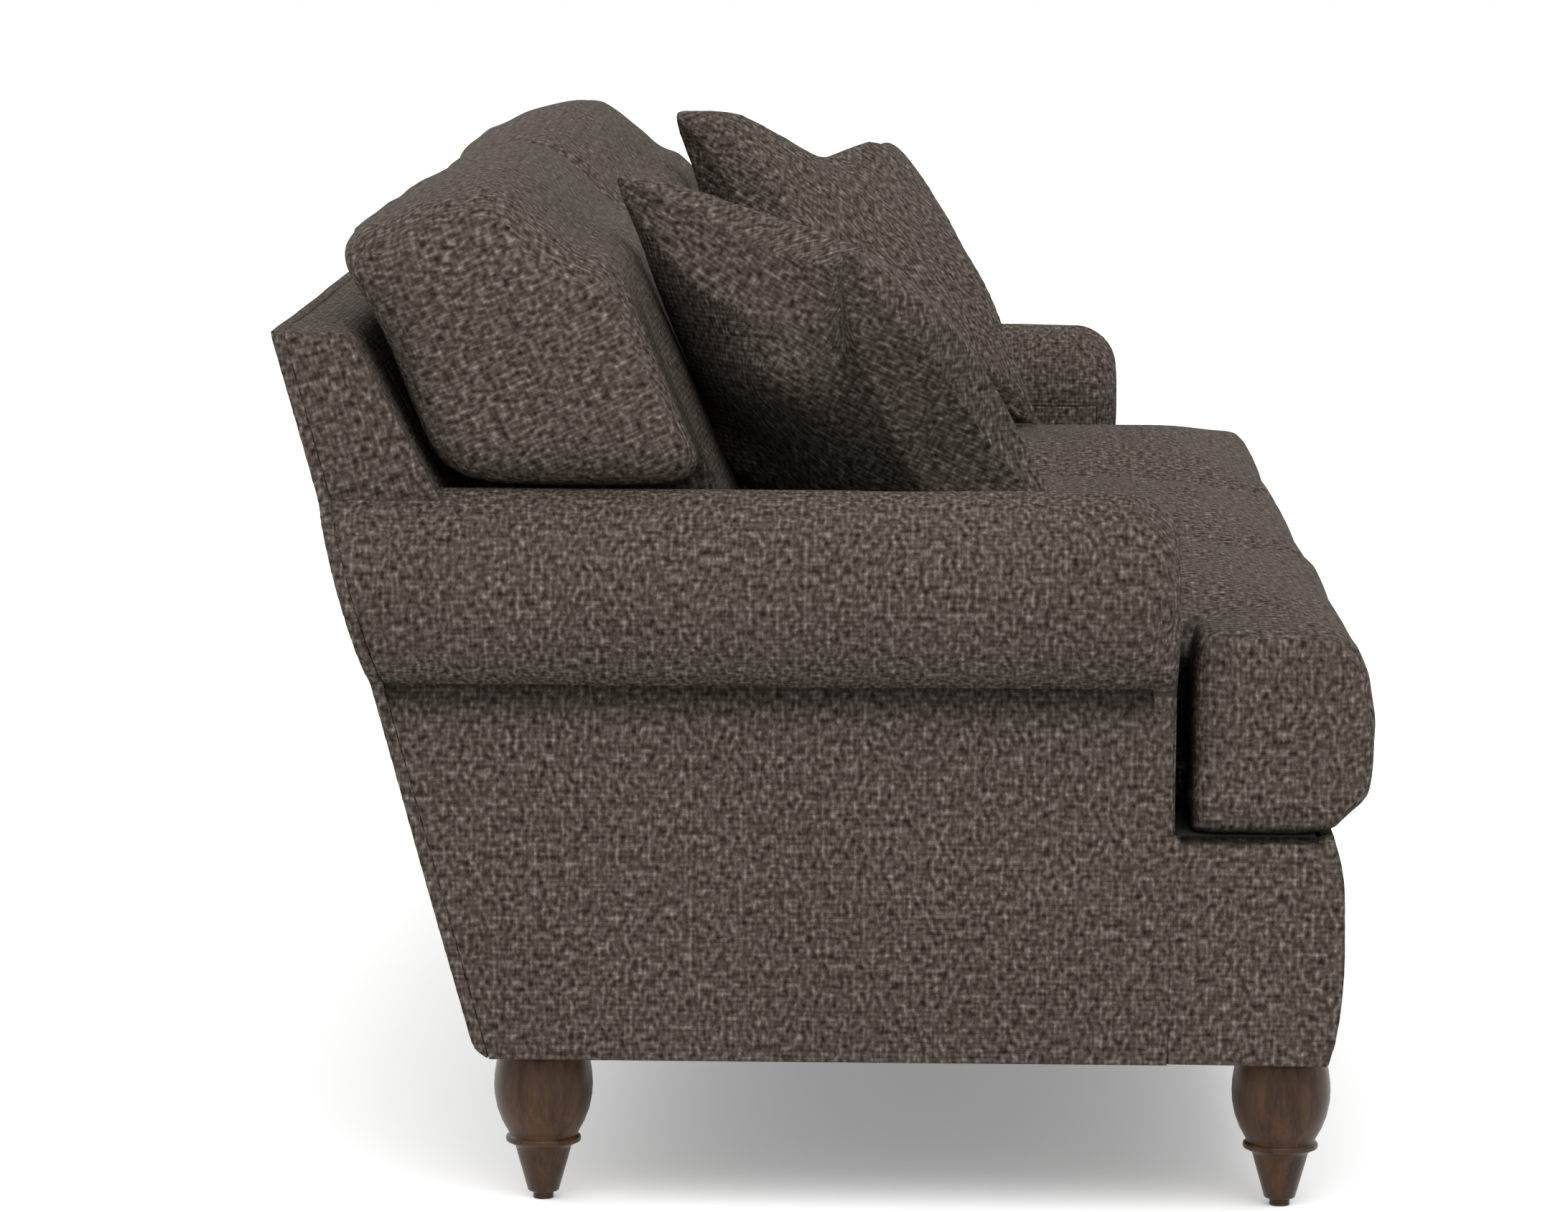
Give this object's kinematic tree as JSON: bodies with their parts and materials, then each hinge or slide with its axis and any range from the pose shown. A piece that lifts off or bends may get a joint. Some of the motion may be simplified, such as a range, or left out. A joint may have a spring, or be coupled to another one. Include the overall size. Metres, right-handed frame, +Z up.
{
  "type": "english roll arm sofa",
  "caption": "Upholstered sofa with low rolled arms set back behind T-shaped seat cushions, a raked back, loose back cushions, throw pillows and turned wooden feet.",
  "frame": {"origin": "on the floor, under the middle of the sofa's overall box", "axes": "+Z up, the front faces -Y, X along the width with left at -X"},
  "size_m": [2.2, 1.008, 0.943],
  "materials": {
    "upholstery_tweed": "chunky matt weave of dark brown with light and near-black flecks",
    "lining_cloth": "matt black-brown lining cloth",
    "frame_hardwood": "sawn hardwood",
    "foot_walnut": "satin walnut stain",
    "bright_steel": "drawn wire and plated bolts",
    "jute_webbing": "woven jute"
  },
  "bodies": {
    "frame": {"front_border": "upholstery_tweed", "inside_back_pad": "upholstery_tweed", "outside_back_panel": "upholstery_tweed", "arm_roll_left": "upholstery_tweed", "arm_roll_right": "upholstery_tweed", "arm_front_panel_left": "upholstery_tweed", "arm_front_panel_right": "upholstery_tweed", "inside_arm_pad_left": "upholstery_tweed", "inside_arm_pad_right": "upholstery_tweed", "outside_arm_panel_left": "upholstery_tweed", "outside_arm_panel_right": "upholstery_tweed", "back_wing_left": "upholstery_tweed", "back_wing_right": "upholstery_tweed", "seat_deck": "lining_cloth", "dust_cover": "lining_cloth", "front_rail": "frame_hardwood", "rear_rail": "frame_hardwood", "centre_stretcher": "frame_hardwood", "back_low_rail": "frame_hardwood", "back_top_rail": "frame_hardwood", "back_centre_upright": "frame_hardwood", "side_rail_left": "frame_hardwood", "side_rail_right": "frame_hardwood", "arm_board_left": "frame_hardwood", "arm_board_right": "frame_hardwood", "arm_front_post_left": "frame_hardwood", "arm_front_post_right": "frame_hardwood", "back_post_left": "frame_hardwood", "back_post_right": "frame_hardwood", "corner_block_front_left": "frame_hardwood", "corner_block_front_right": "frame_hardwood", "corner_block_rear_left": "frame_hardwood", "corner_block_rear_right": "frame_hardwood", "foot_front_left": "foot_walnut", "foot_front_right": "foot_walnut", "foot_rear_left": "foot_walnut", "foot_rear_right": "foot_walnut", "hanger_bolt_front_left": "bright_steel", "hanger_bolt_front_right": "bright_steel", "hanger_bolt_rear_left": "bright_steel", "hanger_bolt_rear_right": "bright_steel", "seat_spring_1": "bright_steel", "seat_spring_2": "bright_steel", "seat_spring_3": "bright_steel", "seat_spring_4": "bright_steel", "seat_spring_5": "bright_steel", "seat_spring_6": "bright_steel", "seat_spring_7": "bright_steel", "seat_spring_8": "bright_steel", "seat_spring_9": "bright_steel", "back_webbing_1": "jute_webbing", "back_webbing_2": "jute_webbing", "back_webbing_3": "jute_webbing"},
    "seat_cushion_left": {"seat_cushion_left": "upholstery_tweed"},
    "seat_cushion_middle": {"seat_cushion_middle": "upholstery_tweed"},
    "seat_cushion_right": {"seat_cushion_right": "upholstery_tweed"},
    "back_cushion_left": {"back_cushion_left": "upholstery_tweed"},
    "back_cushion_right": {"back_cushion_right": "upholstery_tweed"},
    "throw_pillow_left": {"throw_pillow_left": "upholstery_tweed"},
    "throw_pillow_right": {"throw_pillow_right": "upholstery_tweed"}
  },
  "joints": [
    {"name": "seat_cushion_left_slide", "type": "slide", "parent": "frame", "child": "seat_cushion_left", "axis": [0, -1, 0], "range_m": [0, 0.7]},
    {"name": "seat_cushion_middle_slide", "type": "slide", "parent": "frame", "child": "seat_cushion_middle", "axis": [0, -1, 0], "range_m": [0, 0.7]},
    {"name": "seat_cushion_right_slide", "type": "slide", "parent": "frame", "child": "seat_cushion_right", "axis": [0, -1, 0], "range_m": [0, 0.7]},
    {"name": "back_cushion_left_lift", "type": "slide", "parent": "frame", "child": "back_cushion_left", "axis": [0, 0.4179, 0.9085], "range_m": [0, 0.48]},
    {"name": "back_cushion_right_lift", "type": "slide", "parent": "frame", "child": "back_cushion_right", "axis": [0, 0.4179, 0.9085], "range_m": [0, 0.48]},
    {"name": "throw_pillow_left_lift", "type": "slide", "parent": "frame", "child": "throw_pillow_left", "axis": [0, 0, 1], "range_m": [0, 0.45]},
    {"name": "throw_pillow_right_lift", "type": "slide", "parent": "frame", "child": "throw_pillow_right", "axis": [0, 0, 1], "range_m": [0, 0.45]}
  ]
}
